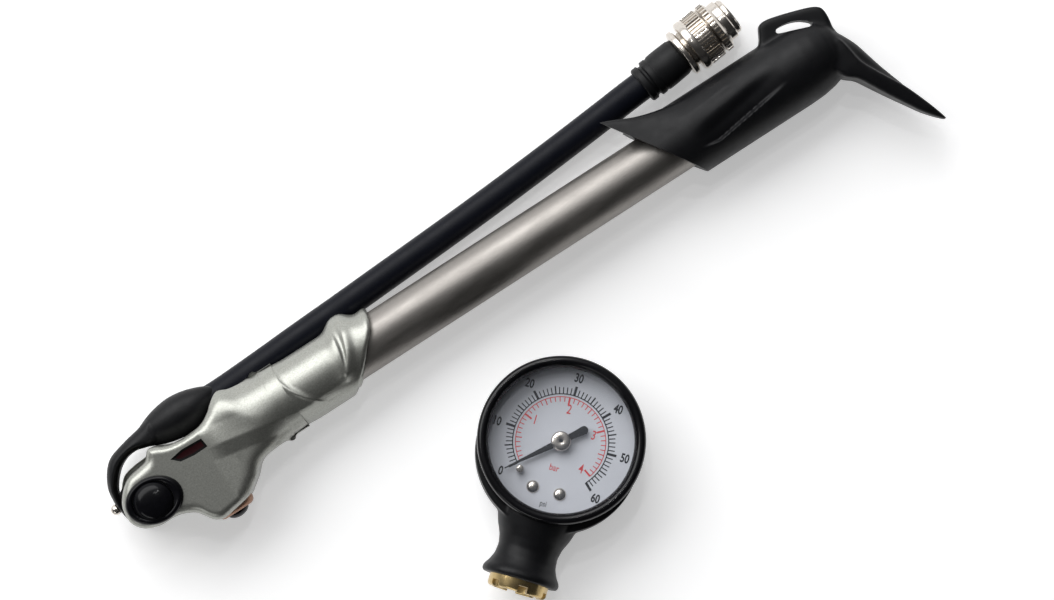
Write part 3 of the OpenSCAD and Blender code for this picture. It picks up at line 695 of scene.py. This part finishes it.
bmesh.ops.translate(bezelRing, vec=(0, 0, -bezel["wall"]),
                    verts=[item for item in deeper if isinstance(item, bmesh.types.BMVert)])
bmesh.ops.bridge_loops(bezelRing, edges=ringLoops[0] + [item for item in deeper if isinstance(item,
        bmesh.types.BMEdge)])
addPiece("bleedBezel", placed(tidied(bezelRing), bezelTurn), pumpPlace, "pump_body", "gloss_black",
         ["bleed_bezel"], sharp=60)
button = {"radius": 4.9, "dome": 3.1}
domeLine = [(0, button["dome"])] + [(4.3 * math.sin(k * math.pi / 24),
        1.75 + 1.35 * math.cos(k * math.pi / 24)) for k in range(1, 11)]
addPiece("bleedButton", turned(domeLine + [(4.55, 1.75), (4.85, 1.5), (button["radius"], 1.2),
        (button["radius"], 0), (1, 0), (1, 1), (0, 1)], 96),
         pumpPlace @ Matrix.Translation((0, 0, 18.4)), "bleed_valve", "gloss_black", ["bleed_button"],
         sharp=60)

spring = {"base": 15.65, "radius": 1.9, "wire": 0.25, "length": 2.6, "turns": 3, "steps": 24, "keep": 0.68}
springShape = bmesh.new()
loops = []
for index in range(spring["turns"] * spring["steps"] + 1):
    angle = 2 * math.pi * index / spring["steps"]
    climb = (spring["wire"] + (spring["length"] - 2 * spring["wire"]) * index
             / (spring["turns"] * spring["steps"]))
    loop = bmesh.ops.create_circle(springShape, segments=10, radius=spring["wire"],
                                   matrix=Matrix.Rotation(angle, 4,
                                           "Z") @ Matrix.Translation((spring["radius"], 0,
                                           spring["base"] + climb))
                                   @ quarterX)["verts"]
    loops.append(list({edge for vert in loop for edge in vert.link_edges}))
for lower, upper in zip(loops, loops[1:]):
    bmesh.ops.bridge_loops(springShape, edges=lower + upper)
for loop in (loops[0], loops[-1]):
    bmesh.ops.contextual_create(springShape, geom=loop)
bmesh.ops.recalc_face_normals(springShape, faces=springShape.faces)
springPiece = addPiece("bleedSpring", springShape, pumpPlace, "pump_body", "steel", ["bleed_spring"])
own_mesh(springPiece)

# label
label = {"outline": [(8.9, 6.35), (12.5, 6.95), (17.9, 6.65), (18.2, 4.2), (14.5, 4.1), (10.8, 4.6)],
         "border": 0.55}
labelPlate = slab(label["outline"], 18.2, 18.8)
topFace = max(labelPlate.faces, key=lambda face: face.calc_center_median().z)
bmesh.ops.inset_region(labelPlate, faces=[topFace], thickness=label["border"], depth=-0.12,
                       use_even_offset=True)
for face in labelPlate.faces:
    face.material_index = 0 if face == topFace else 1
addPiece("labelPlate", labelPlate, pumpPlace, "pump_body", "label", ["label_inlay"],
         [finishes["label"], labelBlack], sharp=20)

# port on the head's lower side
addPiece("portRing", softened(turned([(3, 2), (4, 2), (4, 10.8), (4.95, 10.82), (4.95, 11.6), (4.7, 12.3),
        (4.3, 12.75), (3.7, 13), (3.1, 13), (3, 12.7)],
                              96, closed=True), 0.08), alongPort(0), "pump_body", "copper_brass",
                              ["port_boss"])
addPiece("portPlunger", turned([(0, 14.4), (0.9, 14.3), (1.8, 13.98), (2.5, 13.5), (2.85, 12.95),
        (2.94, 12.3), (2.94, 7), (2.1, 7), (2.1, 9.4), (0, 9.4)], 72),
         alongPort(0), "port_valve", "gloss_black", ["port_plunger"], sharp=60)

# head
head = {
    "front": [  # x, y and how far the rounding of the edge reaches
        (-7.75, 0, 1.8), (-7.3, 3, 2.0), (-5.25, 6, 2.2), (-2.5, 8.1, 2.3), (0.5, 8.75, 2.6),
        (3.2, 9.3, 2.8), (4.4, 10.6, 2.4),
        (5.5, 11.5, 1.8), (7.2, 11.1, 1.8), (10, 9.75, 1.6), (14, 9.15, 1.6), (19, 9.5, 1.7), (22, 11, 1.8),
        (24, 12.7, 1.9),
        (26.6, 14.3, 2.2), (29, 13.4, 2.4), (31.5, 13, 1.6), (34, 12.8, 0.8), (37, 12.5, 0.1),
        (37, -4.6, 0.1), (34, -4.9, 0.8), (31, -5.1, 1.6), (28, -5.4, 2.4), (26, -6.25, 2.6),
        (24, -8.25, 2.4), (21.5, -10.1, 2), (19.6, -11.3, 1.8), (15, -12.2, 2.0), (12, -12.6, 2.2),
        (10, -11.7, 2.2), (8.5, -9.75, 2), (7.25, -8, 2.4),
        (5.5, -6.9, 2.4), (3, -6, 2.2), (0, -5.75, 2), (-3.4, -5.3, 1.8), (-6, -3.9, 1.7), (-7.4, -2, 1.7)],
    "back": [(-8.6, 0), (-8.4, 3.4), (-7, 6.4), (-4.4, 9.3), (-1, 10.2), (3, 10.6), (5.25, 11.75), (8, 8),
             (5, -5), (0, -5.75), (-3.8, -5.6), (-6.6, -4.2), (-8.2, -2.2)],
    "neck": 9.05, "seam": 41, "slotLow": 3.6,
    "creaseFrom": (17, 3.9), "creaseTo": (41, -0.6), "upperFall": 0.1, "ledge": 0.85, "neckSmoothing": 24,
    # start, end, swell, its middle, its spread
    "neckAbove": (19, 33, 1.5, 26.4, 3.4), "neckBelow": (25, 38, 1.6, 25, 3.0),
    "neckSlack": 0.12, "neckFall": (0.45, 31, 10), "neckSoft": (18, 38, 11),
    "face": {"level": 12.5, "from": (17, 6), "rise": 3, "band": 3.4, "fallMost": 5, "fallFrom": (22, 12)},
}


def eased(value):
    value = min(1.0, max(0.0, value))
    return value * value * (3 - 2 * value)


def roundNeck(bm):  # the flat head turns into the round neck
    fall, fallStart, fallRun = head["neckFall"]
    softStart, softEnd, softLevel = head["neckSoft"]
    for vert in bm.verts:
        x, y, z = vert.co
        start, end, wide, middle, spread = head["neckAbove"] if y > layout["barrelY"] else head["neckBelow"]
        if x < start:
            continue
        neck = head["neck"] + head["neckSlack"] - fall * min(1.0, max(0.0, (x - fallStart) / fallRun))
        neck = neck + wide * math.exp(-((x - middle) / spread) ** 2)
        half = math.sqrt(max(0.3, neck ** 2 - (y - layout["barrelY"]) ** 2))
        rise = z - layout["axisZ"]
        if abs(rise) > 2:
            vert.co.z -= math.copysign(max(0.0, abs(rise) - half), rise) * eased((x - start) / (end - start))
    soft = [vert for vert in bm.verts if softStart < vert.co.x < softEnd and vert.co.z > softLevel]
    for step in range(head["neckSmoothing"]):
        bmesh.ops.smooth_vert(bm, verts=soft, factor=0.5, use_axis_x=False, use_axis_y=False, use_axis_z=True)
    return bm


# the crease along the face, with the upper side falling back and a band along the lower side
def shapeFace(bm):
    (startX, startY), (endX, endY) = head["creaseFrom"], head["creaseTo"]
    face = head["face"]
    for vert in bm.verts:
        x, y, z = vert.co
        if z < face["level"]:
            continue
        ease = eased((x - face["from"][0]) / face["from"][1]) * min(1.0, (z - face["level"]) / face["rise"])
        crease = startY + (x - startX) / (endX - startX) * (endY - startY)
        vert.co.z -= ease * head["ledge"] * min(1.0, max(0.0, crease - y) / face["band"])
        if y > crease:
            fade = 1 - eased((x - face["fallFrom"][0]) / face["fallFrom"][1])
            vert.co.z -= ease * head["upperFall"] * min(y - crease, face["fallMost"]) * fade
    return bm


headSkin = melted(together(
    slab([point[:2] for point in head["front"]], 0, 19, 4), slab(head["back"], 0, 3.5, 4),
    barrelRod(26, 42.5, head["neck"]), barrelRod(24, 40, 8.9),
    placed(ball((0, 0, 0), 1, 48), Matrix.Translation((14.9, -6.8, layout["axisZ"])) @ Matrix.Diagonal((6.6,
            6.1, 8.9, 1)))), 0.33, 5)
roundRim(headSkin, head["front"], layout["axisZ"], drop=0.26, below=36)
roundRim(headSkin, head["front"], layout["axisZ"], drop=0.2, front=False, above=9, below=36)
shapeFace(roundNeck(headSkin))
hoseRoom = 4.05


def hoseBore(start, length, turn, sides):  # a straight run of room for the hose
    return placed(rod(hoseRoom, length, sides),
                  turnedPlace(Matrix.Identity(4), start, "Z", turn) @ quarterY)


cradle = melted(together(
    *[ball((19 + 1.4 * k, 14 - 0.02 * k, 7.6 - 0.33 * k), 4.35, 32) for k in range(11)],
    *[ball((33 + 0.4 * k, 17, 4.5), 4.1, 24) for k in range(2)],
    hoseBore((33, 13.8, 4.5), 14, 2.8, 48)), 0.3, 2)
slot = softened(rodAt(12.6, 9, 128, (0, 0, head["slotLow"])), 0.01)
headSkin = cut(
    headSkin, slot, cradle,
    rodAt(3.2, 22, 64, (0, 0, -1)), rodAt(5, 2, 64, (0, 0, -1)),
    rodAt(5.1, 3, 64, (0, 0, 17.4)),
    barrelRod(33, 53, barrel["outer"]), barrelRod(20, 34, 1.2),
    placed(rod(4, 10, 64), Matrix.Translation((layout["portX"], -4, layout["axisZ"])) @ quarterX),
    placed(rod(4.9, 3, 64), Matrix.Translation((layout["portX"], -9.8, layout["axisZ"])) @ quarterX),
    barrelRod(head["seam"], 50, 12), slab(label["outline"], 18.2, 21), bezelHole)
addPiece("headShell", tidied(headSkin), pumpPlace, "pump_body", "head_paint", ["head_body"], sharp=45)

# collar: the sleeve that flows from the head on to the barrel
collar = {
    "radius": 8.5, "shift": -0.3, "shiftFrom": (40, 5), "start": 41.02, "sides": 220, "rings": 150,
    "middle": 54, "half": 16,  # of the tube before it's cut to its ends
    "end": [(67.9, 12.6), (67.7, 10.6), (67.3, 9.0), (66.5, 6.9), (65.2, 5.2), (63.2, 3.1), (60.4, -0.3),
            (57.9, -2.7), (55.4, -4.85), (54.4, -8)],
    "endRounding": 1.5, "headStep": 0.2,
    "stepLine": [(40.2, 13), (40.6, 9), (42.0, 5), (44.0, 2), (46.2, -0.6), (48.6, -3.4)],
    "folds": [  # route of (x, y), height, half width toward the head, half width toward the barrel
        ([(40.2, 13), (40.6, 9), (42.0, 5), (44.0, 2), (46.2, -0.6)], 0.3, 0.75, 0.85),
        ([(56.8, 13), (57.3, 9.5), (56.8, 5.5), (55.6, 1.4), (54.9, -0.4)], 0.7, 2.0, 0.75),
        ([(60.4, 13), (60.1, 9.0), (58.8, 5.2), (56.9, 1.8), (55.5, -0.6)], 0.8, 0.75, 1.7)],
    # middle, height, reach along, reach round
    "hump": (60.0, 2.1, 3.3, 5.6), "valley": (64.4, 0.3, 1.6, 6.0),
    "crease": {"depth": 0.5, "y": -0.5, "ends": 58, "fade": 10, "band": 2.2}, "endDrop": 1.1,
}


def routeX(points, y):  # where a route that runs down the face is at this height
    for top, low in zip(points, points[1:]):
        if low[1] <= y <= top[1]:
            return top[0] + (top[1] - y) / (top[1] - low[1]) * (low[0] - top[0])
    return points[0][0] if y > points[0][1] else points[-1][0]


foldLines = [(flowing(points, 8, closed=False), *rest) for points, *rest in collar["folds"]]
collarSkin = bmesh.new()
bmesh.ops.create_grid(collarSkin, x_segments=collar["sides"], y_segments=collar["rings"], size=1)
for vert in collarSkin.verts:  # a fine tube, raised where the cloth-like folds run
    turn, x = vert.co.x * math.pi, collar["middle"] + vert.co.y * collar["half"]
    up, out = math.cos(turn), math.sin(turn)
    radius = collar["radius"]
    shiftStart, shiftRun = collar["shiftFrom"]
    centreY = layout["barrelY"] + collar["shift"] * eased((x - shiftStart) / shiftRun)
    y = centreY + radius * up
    front = 1.0 if out > 0 else max(0.0, 1 + out * 1.2)
    for line, height, before, after in foldLines:
        away = x - routeX(line, y)
        fade = eased((y - line[-1][1] + 1.0) / 3) * (1 - 0.95 * eased((y - 8.5) / 3.5))
        radius += front * height * fade * math.exp(-(away / (before if away < 0 else after)) ** 2)
    radius += front * collar["headStep"] * eased((y + 3.5) / 3) * (1 - eased((x - routeX(collar["stepLine"],
            y) + 0.2) / 0.7))
    slope = math.acos(max(-1.0, min(1.0, up))) * collar["radius"] * (1 if out > 0 else 1.3)
    middle, height, across, down = collar["hump"]
    radius += height * math.exp(-abs((x - middle) / across) ** 2.8 - (slope / down) ** 2)
    middle, depth, across, down = collar["valley"]
    radius -= depth * math.exp(-((x - middle) / across) ** 2 - (slope / down) ** 2)
    crease = collar["crease"]
    if out > 0 and x < crease["ends"]:  # the head's crease runs on and fades
        share = min(1.0, max(0.0, crease["y"] - y) / crease["band"])
        radius -= crease["depth"] * eased((crease["ends"] - x) / crease["fade"]) * share * min(1.0,
                max(0.0, out) * 3)
    left = routeX(collar["end"], y) - x
    if left < collar["endRounding"]:
        share = 1 - max(0.0, left) / collar["endRounding"]
        radius -= collar["endDrop"] * (1 - math.sqrt(max(0.0, 1 - share * share)))
    vert.co = (x, centreY + radius * up, layout["axisZ"] + radius * out)
bmesh.ops.remove_doubles(collarSkin, verts=collarSkin.verts, dist=0.02)
for place in (collar["middle"] - collar["half"], collar["middle"] + collar["half"]):
    rim = [edge for edge in collarSkin.edges
           if edge.is_boundary and all(abs(vert.co.x - place) < 0.01 for vert in edge.verts)]
    bmesh.ops.contextual_create(collarSkin, geom=rim)
bmesh.ops.recalc_face_normals(collarSkin, faces=collarSkin.faces)
hosePath = [hoseBore(start, length, turn, 64)
            for start, length, turn in (((46, 14.4, 3.8), 30, 2.5), ((33, 13.8, 4.5), 14.2, 2.8))]
collarSkin = cut(collarSkin, barrelRod(30, collar["start"], 20), barrelRod(36, 76, barrel["outer"]),
                 cut(slab([(20, -20), (90, -20), (90, 40), (20, 40)], -1, 30),
                     slab([(30, 30), (67.9, 30)] + collar["end"] + [(30, -8)], -2, 31, 1)), *hosePath)
addPiece("collarSleeve", tidied(collarSkin), pumpPlace, "pump_body", "head_paint", ["collar_sleeve"],
         sharp=50)

# gauge: case, bezel, dial, pointer, holder and union
gauge = {
    "stemZ": 3.57, "stemHole": 2.6, "dialTop": 8.0, "zero": 222.0, "perPsi": 4.4, "psiPerBar": 14.5,
    "print": 0.03, "blackArc": 11.7, "redArc": 11.0, "numberRadius": 16.15, "redNumberRadius": 8.2,
    "numberHeight": 2.3, "redNumberTurn": -3,
    "screws": (-3.4, 3.4), "screwY": -12.4, "notches": 6, "notch": [(4.9, -1.15), (9, -1.15), (9, 1.15),
            (4.9, 1.15)],
}
toStem = Matrix.Translation((0, 0, gauge["stemZ"])) @ quarterX  # height runs down the stem
stemHole = placed(rod(gauge["stemHole"], 12, 48), toStem @ Matrix.Translation((0, 0, 13)))
gaugeCase = turned([(0, 0), (18.8, 0), (19.35, 0.25), (19.6, 0.8), (19.6, 12.2), (18.6, 12.2), (18.6, 0.8),
                    (0, 0.8)], 160)
addPiece("gaugeCase", cut(gaugeCase, stemHole), gaugePlace, "gauge", "black_paint", ["gauge_case"])
gaugeBezel = turned([
    (19.6, 10.4), (20.25, 10.4), (20.45, 10.55), (20.5, 10.9), (20.5, 13.6), (20.42, 14.1), (20.15, 14.6),
    (19.7, 14.9), (19.2, 15.0),
    (18.75, 14.86), (18.35, 14.5), (18.0, 13.95), (17.75, 13.3), (17.7, 12.4), (18.8, 12.4), (18.8, 12.2),
    (19.6, 12.2)], 200, closed=True)
addPiece("gaugeBezel", gaugeBezel, gaugePlace, "gauge", "black_paint", ["gauge_bezel"])


def around(degrees, radius):
    return radius * math.cos(math.radians(degrees)), radius * math.sin(math.radians(degrees))


# a short printed line that points at the dial's middle
def printedBar(bm, degrees, inner, outer, width, height):
    start, end, side = Vector(around(degrees, inner)), Vector(around(degrees,
            outer)), Vector(around(degrees + 90, width / 2))
    bm.faces.new([bm.verts.new((*corner, height)) for corner in (start - side, end - side, end + side,
            start + side)])


def printedArc(bm, start, end, radius, width, height, steps=120):
    rings = [[bm.verts.new((*around(start + (end - start) * k / steps, radius + offset),
                            height)) for k in range(steps + 1)]
             for offset in (-width / 2, width / 2)]
    for k in range(steps):
        bm.faces.new((rings[0][k], rings[1][k], rings[1][k + 1], rings[0][k + 1]))


def printedWord(bm, word, middle, height, lift, squeeze=0.72, weight=0.03):
    letters = bpy.data.curves.new("letters", "FONT")
    letters.body, letters.align_x, letters.align_y = word, "CENTER", "CENTER"
    letters.size, letters.offset, letters.resolution_u = 1.0, weight, 4
    made = bpy.data.objects.new("letters", letters)
    scene.collection.objects.link(made)
    bpy.context.view_layer.update()
    flat = bpy.data.meshes.new_from_object(made.evaluated_get(bpy.context.evaluated_depsgraph_get()))
    bpy.data.objects.remove(made)
    bpy.data.curves.remove(letters)
    shape = bmesh.new()
    shape.from_mesh(flat)
    low = min(vert.co.y for vert in shape.verts)
    tall = max(vert.co.y for vert in shape.verts) - low
    left, right = (side(vert.co.x for vert in shape.verts) for side in (min, max))
    grow = height / tall
    for vert in shape.verts:
        vert.co = ((vert.co.x - (left + right) / 2) * grow * squeeze + middle[0],
                   (vert.co.y - low - tall / 2) * grow + middle[1], lift)
    shape.to_mesh(flat)
    shape.free()
    bm.from_mesh(flat)
    bpy.data.meshes.remove(flat)


def psiAngle(value):
    return gauge["zero"] - value * gauge["perPsi"]


inkTop = gauge["dialTop"] + gauge["print"]
blackInk, redInk = bmesh.new(), bmesh.new()
printedArc(blackInk, psiAngle(0), psiAngle(60), gauge["blackArc"], 0.26, inkTop)
for value in range(61):
    length, width = ((2.3, 0.62) if value % 10 == 0 else (2.0, 0.34) if value % 5 == 0 else (1.65, 0.26))
    printedBar(blackInk, psiAngle(value), gauge["blackArc"], gauge["blackArc"] + length, width, inkTop)
for value in range(0, 61, 10):
    printedWord(blackInk, str(value), around(psiAngle(value), gauge["numberRadius"]), gauge["numberHeight"],
                inkTop)
printedWord(blackInk, "psi", (0.2, -15.9), 1.7, inkTop, 0.8, 0.004)
lastBar = 4 * gauge["psiPerBar"]
printedArc(redInk, psiAngle(0), psiAngle(lastBar), gauge["redArc"], 0.2, inkTop)
for tenth in range(41):
    value = tenth / 10 * gauge["psiPerBar"]
    length, width = (2.0, 0.46) if tenth % 10 == 0 else (1.5, 0.26) if tenth % 5 == 0 else (1.2, 0.22)
    printedBar(redInk, psiAngle(value), gauge["redArc"] - length, gauge["redArc"], width, inkTop)
for value in range(1, 5):
    printedWord(redInk, str(value), around(psiAngle(value * gauge["psiPerBar"]) + gauge["redNumberTurn"],
            gauge["redNumberRadius"]), gauge["numberHeight"], inkTop, weight=0.008)
printedWord(redInk, "bar", (0.35, -6.5), 1.6, inkTop, 0.8, 0.004)
dialPlate = turned([(0.9, 7.5), (18.4, 7.5), (18.4, 8.0), (0.9, 8.0)], 120, closed=True)
dialPlate = cut(dialPlate, *[rodAt(0.8, 4, 24, (x, gauge["screwY"], 6)) for x in gauge["screws"]])
faceMaterials = [finishes["dial_white"], printBlack, printRed]
for ink, index in ((dialPlate, 0), (blackInk, 1), (redInk, 2)):
    for face in ink.faces:
        face.material_index = index
for ink in (blackInk, redInk):
    for face in ink.faces:
        face.normal_update()
        if face.normal.z < 0:
            face.normal_flip()
addPiece("dialFace", together(dialPlate, blackInk, redInk), gaugePlace, "gauge", "dial_white",
         ["gauge_dial"], faceMaterials)

screwDome = [(0, 0.85), (0.5, 0.82), (0.95, 0.66), (1.3, 0.42), (1.52, 0.16), (1.6, 0), (0.8, 0), (0.8, -4),
             (0, -4)]
addPiece("dialScrews", together(*[placed(turned(screwDome, 48),
        Matrix.Translation((x, gauge["screwY"], gauge["dialTop"])))
                                  for x in gauge["screws"]]), gaugePlace, "gauge", "nickel", ["dial_screws"])
pinX, pinY = around(gauge["zero"] + 8.5, 12)
addPiece("stopPin", placed(softened(rod(0.9, 2.3, 48), 0.2, 3),
                           Matrix.Translation((pinX, pinY, gauge["dialTop"]))),
         gaugePlace, "gauge", "nickel", ["stop_pin"])

pointer = {"thick": (9.1, 9.5), "shape": [(15.2, 0.14), (9, 0.42), (3, 0.72), (1.2, 0.8), (-1.2, 0.72),
        (-4.0, 0.85), (-5.8, 1.02)], "tail": (-6.2, 1.08)}
needle = list(pointer["shape"])
needle += [(pointer["tail"][0] + pointer["tail"][1] * math.cos(angle), pointer["tail"][1] * math.sin(angle))
           for angle in (math.radians(90 + 15 * k) for k in range(1, 12))]
needle += [(x, -y) for x, y in reversed(pointer["shape"])]
needleShape = softened(slab(needle, *pointer["thick"]), 0.08, 2)
needleShape = cut(needleShape, rodAt(0.5, 3, 32, (0, 0, 8)))
addPiece("pointerNeedle", needleShape, gaugePlace @ Matrix.Rotation(math.radians(gauge["zero"]), 4, "Z"),
         "pointer", "pointer_black", ["pointer"])

hub = {"outline": [(0, 10.25), (0.42, 10.25), (0.46, 10.5), (0.7, 10.56), (1.75, 10.55), (2.15, 10.42),
                   (2.4, 10.1), (2.45, 9.8), (2.45, 9.55), (0.5, 9.55), (0.5, 5.3), (1.1, 5.3), (1.1,
        4.1), (0.5, 4.1), (0.5, 1), (0, 1)]}
hubShape = turned(hub["outline"], 96)
for face in hubShape.faces:
    if face.calc_center_median().xy.length < 0.5 and face.calc_center_median().z > 10:
        face.material_index = 1
addPiece("pointerHub", hubShape, gaugePlace, "pointer", "nickel", ["pointer_spindle"],
         [finishes["nickel"], printBlack])

# holder: a cradle under the case on a waisted foot
holder = {
    "foot": [(0, 14), (10, 14), (10.1, 17), (9.9, 20), (9.1, 22.6), (8.0, 25), (7.45, 27.5), (7.7, 30),
             (8.6, 32), (9.45, 33.2), (9.7, 33.9), (9.55, 34.6), (9.2, 35), (0, 35)],
}
cradleRing = rodAt(20.1, 8.2, 160, (0, -2.4, 1.6))
holderSkin = melted(together(cradleRing, placed(turned(holder["foot"], 128), toStem)), 0.36, 8)
holderSkin = cut(holderSkin, rodAt(19.6, 60, 160, (0, 0, -30)), rodAt(20.55, 10, 160, (0, 0, 10.3)),
                 slab([(-30, 0), (30, 0), (30, 30), (-30, 30)], -1, 19),
                 slab([(-30, -26), (30, -26), (30, 4), (-30, 4)], -14, -1),
                 placed(rod(gauge["stemHole"], 20, 48), toStem @ Matrix.Translation((0, 0, 14))),
                 placed(rod(7.35, 8, 96), toStem @ Matrix.Translation((0, 0, 30))))
addPiece("gaugeHolder", tidied(holderSkin), gaugePlace, "gauge", "black_plastic", ["gauge_holder"], sharp=50)

unionRing = softened(turned([(2.6, 30), (7.35, 30), (7.35, 37.3), (7.0, 37.85), (6.5, 38), (5.9, 38),
                             (5.55, 37.6), (5.55, 33), (5.9, 33), (5.9, 32), (2.6, 32)],
                            120, closed=True), 0.06)
notchTools = [placed(slab(gauge["notch"], 36.4, 40),
                     Matrix.Rotation(2 * math.pi * k / gauge["notches"] + 0.35, 4,
                             "Z")) for k in range(gauge["notches"])]
unionRing = softened(cut(unionRing, *notchTools), 0.08)
addPiece("unionNut", unionRing, gaugePlace @ toStem, "gauge", "brass", ["union_nut"])

print("pieces made")
